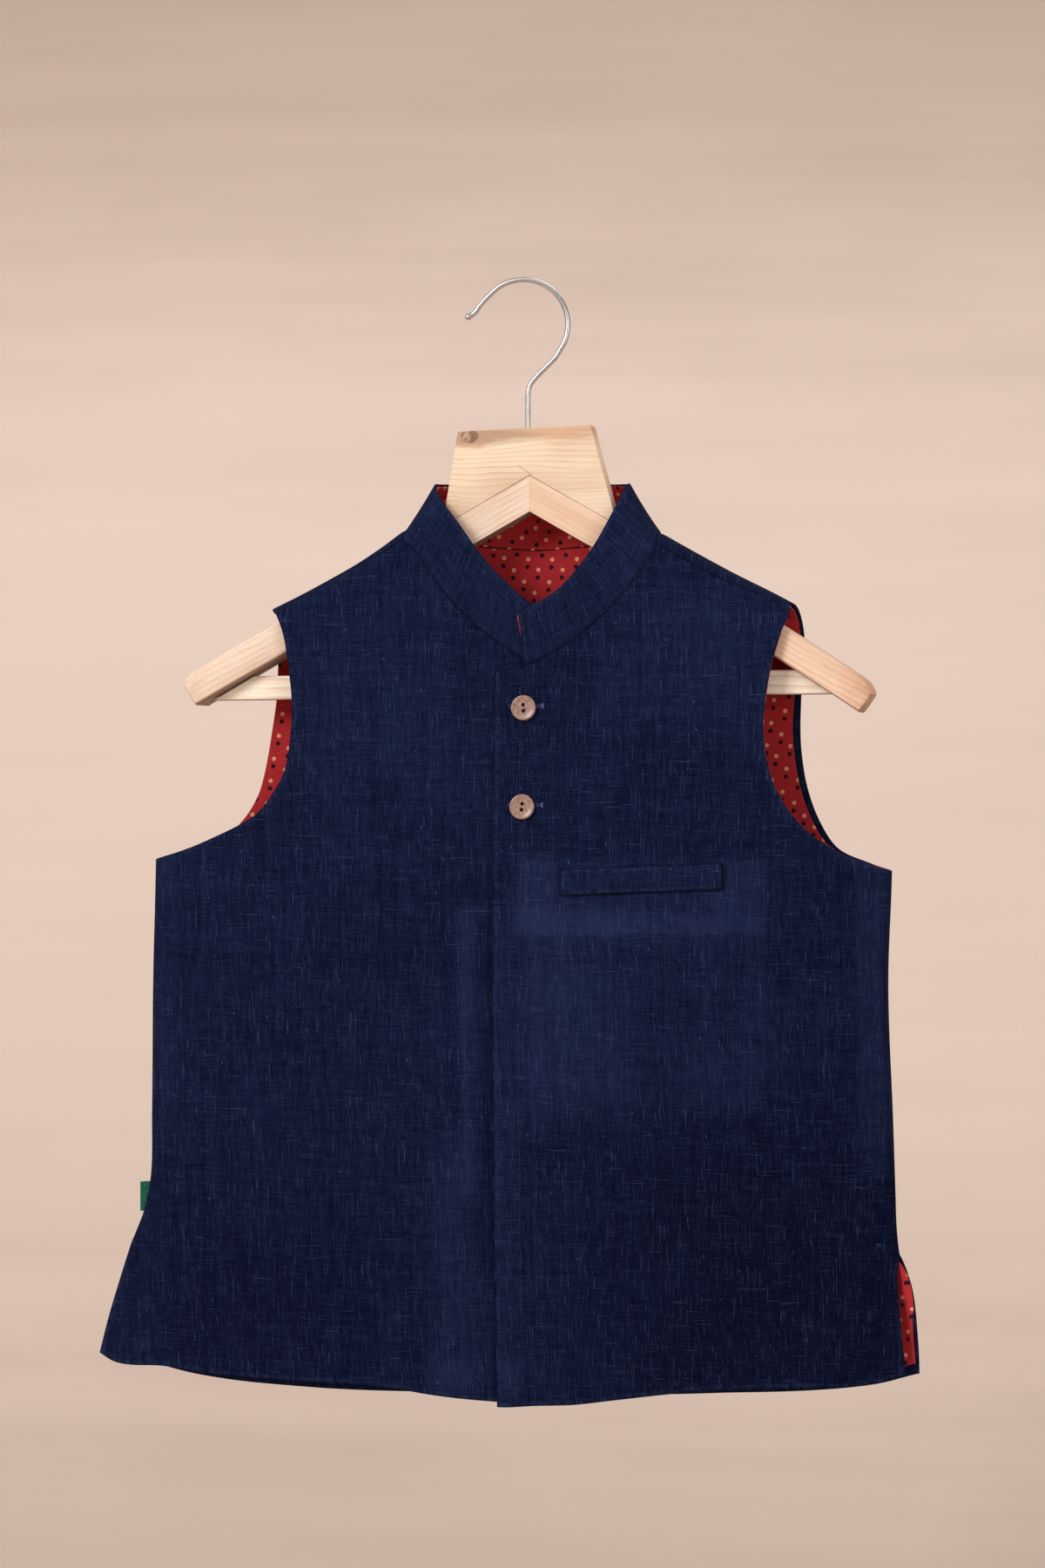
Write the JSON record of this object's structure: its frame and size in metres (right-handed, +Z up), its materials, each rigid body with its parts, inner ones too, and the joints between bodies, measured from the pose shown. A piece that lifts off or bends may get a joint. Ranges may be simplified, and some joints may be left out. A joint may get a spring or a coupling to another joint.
{
  "type": "sleeveless jacket on a hanger",
  "caption": "Child's stand-collar sleeveless jacket, lined and buttoned, hung flat on a plain wooden hanger with a wire hook.",
  "frame": {"origin": "under the top of the hook's wire, where the hook is held", "axes": "+X to the wearer's left, +Y to the back of the jacket, +Z up"},
  "size_m": [0.4795, 0.0563, 0.6447],
  "materials": {
    "indigo_cotton": "matte slubby handloom cotton",
    "dotted_lining": "matte brick-red cotton with small peach and dark dots",
    "coconut_shell": "polished brown coconut shell",
    "green_tape": "matte woven tape",
    "steel_wire": "satin drawn wire",
    "pale_wood": "sanded, unvarnished pale wood"
  },
  "bodies": {
    "root": {"back_panel": "indigo_cotton", "front_left_panel": "indigo_cotton", "front_right_panel": "indigo_cotton", "collar_outer": "indigo_cotton", "pocket_welt": "indigo_cotton", "collar_lining": "dotted_lining", "lining_back": "dotted_lining", "lining_front_left": "dotted_lining", "lining_front_right": "dotted_lining", "button_upper": "coconut_shell", "button_lower": "coconut_shell", "side_label": "green_tape", "hook": "steel_wire", "hanger_head": "pale_wood", "hanger_arm_left": "pale_wood", "hanger_arm_right": "pale_wood", "hanger_crossbar": "pale_wood"}
  },
  "joints": []
}
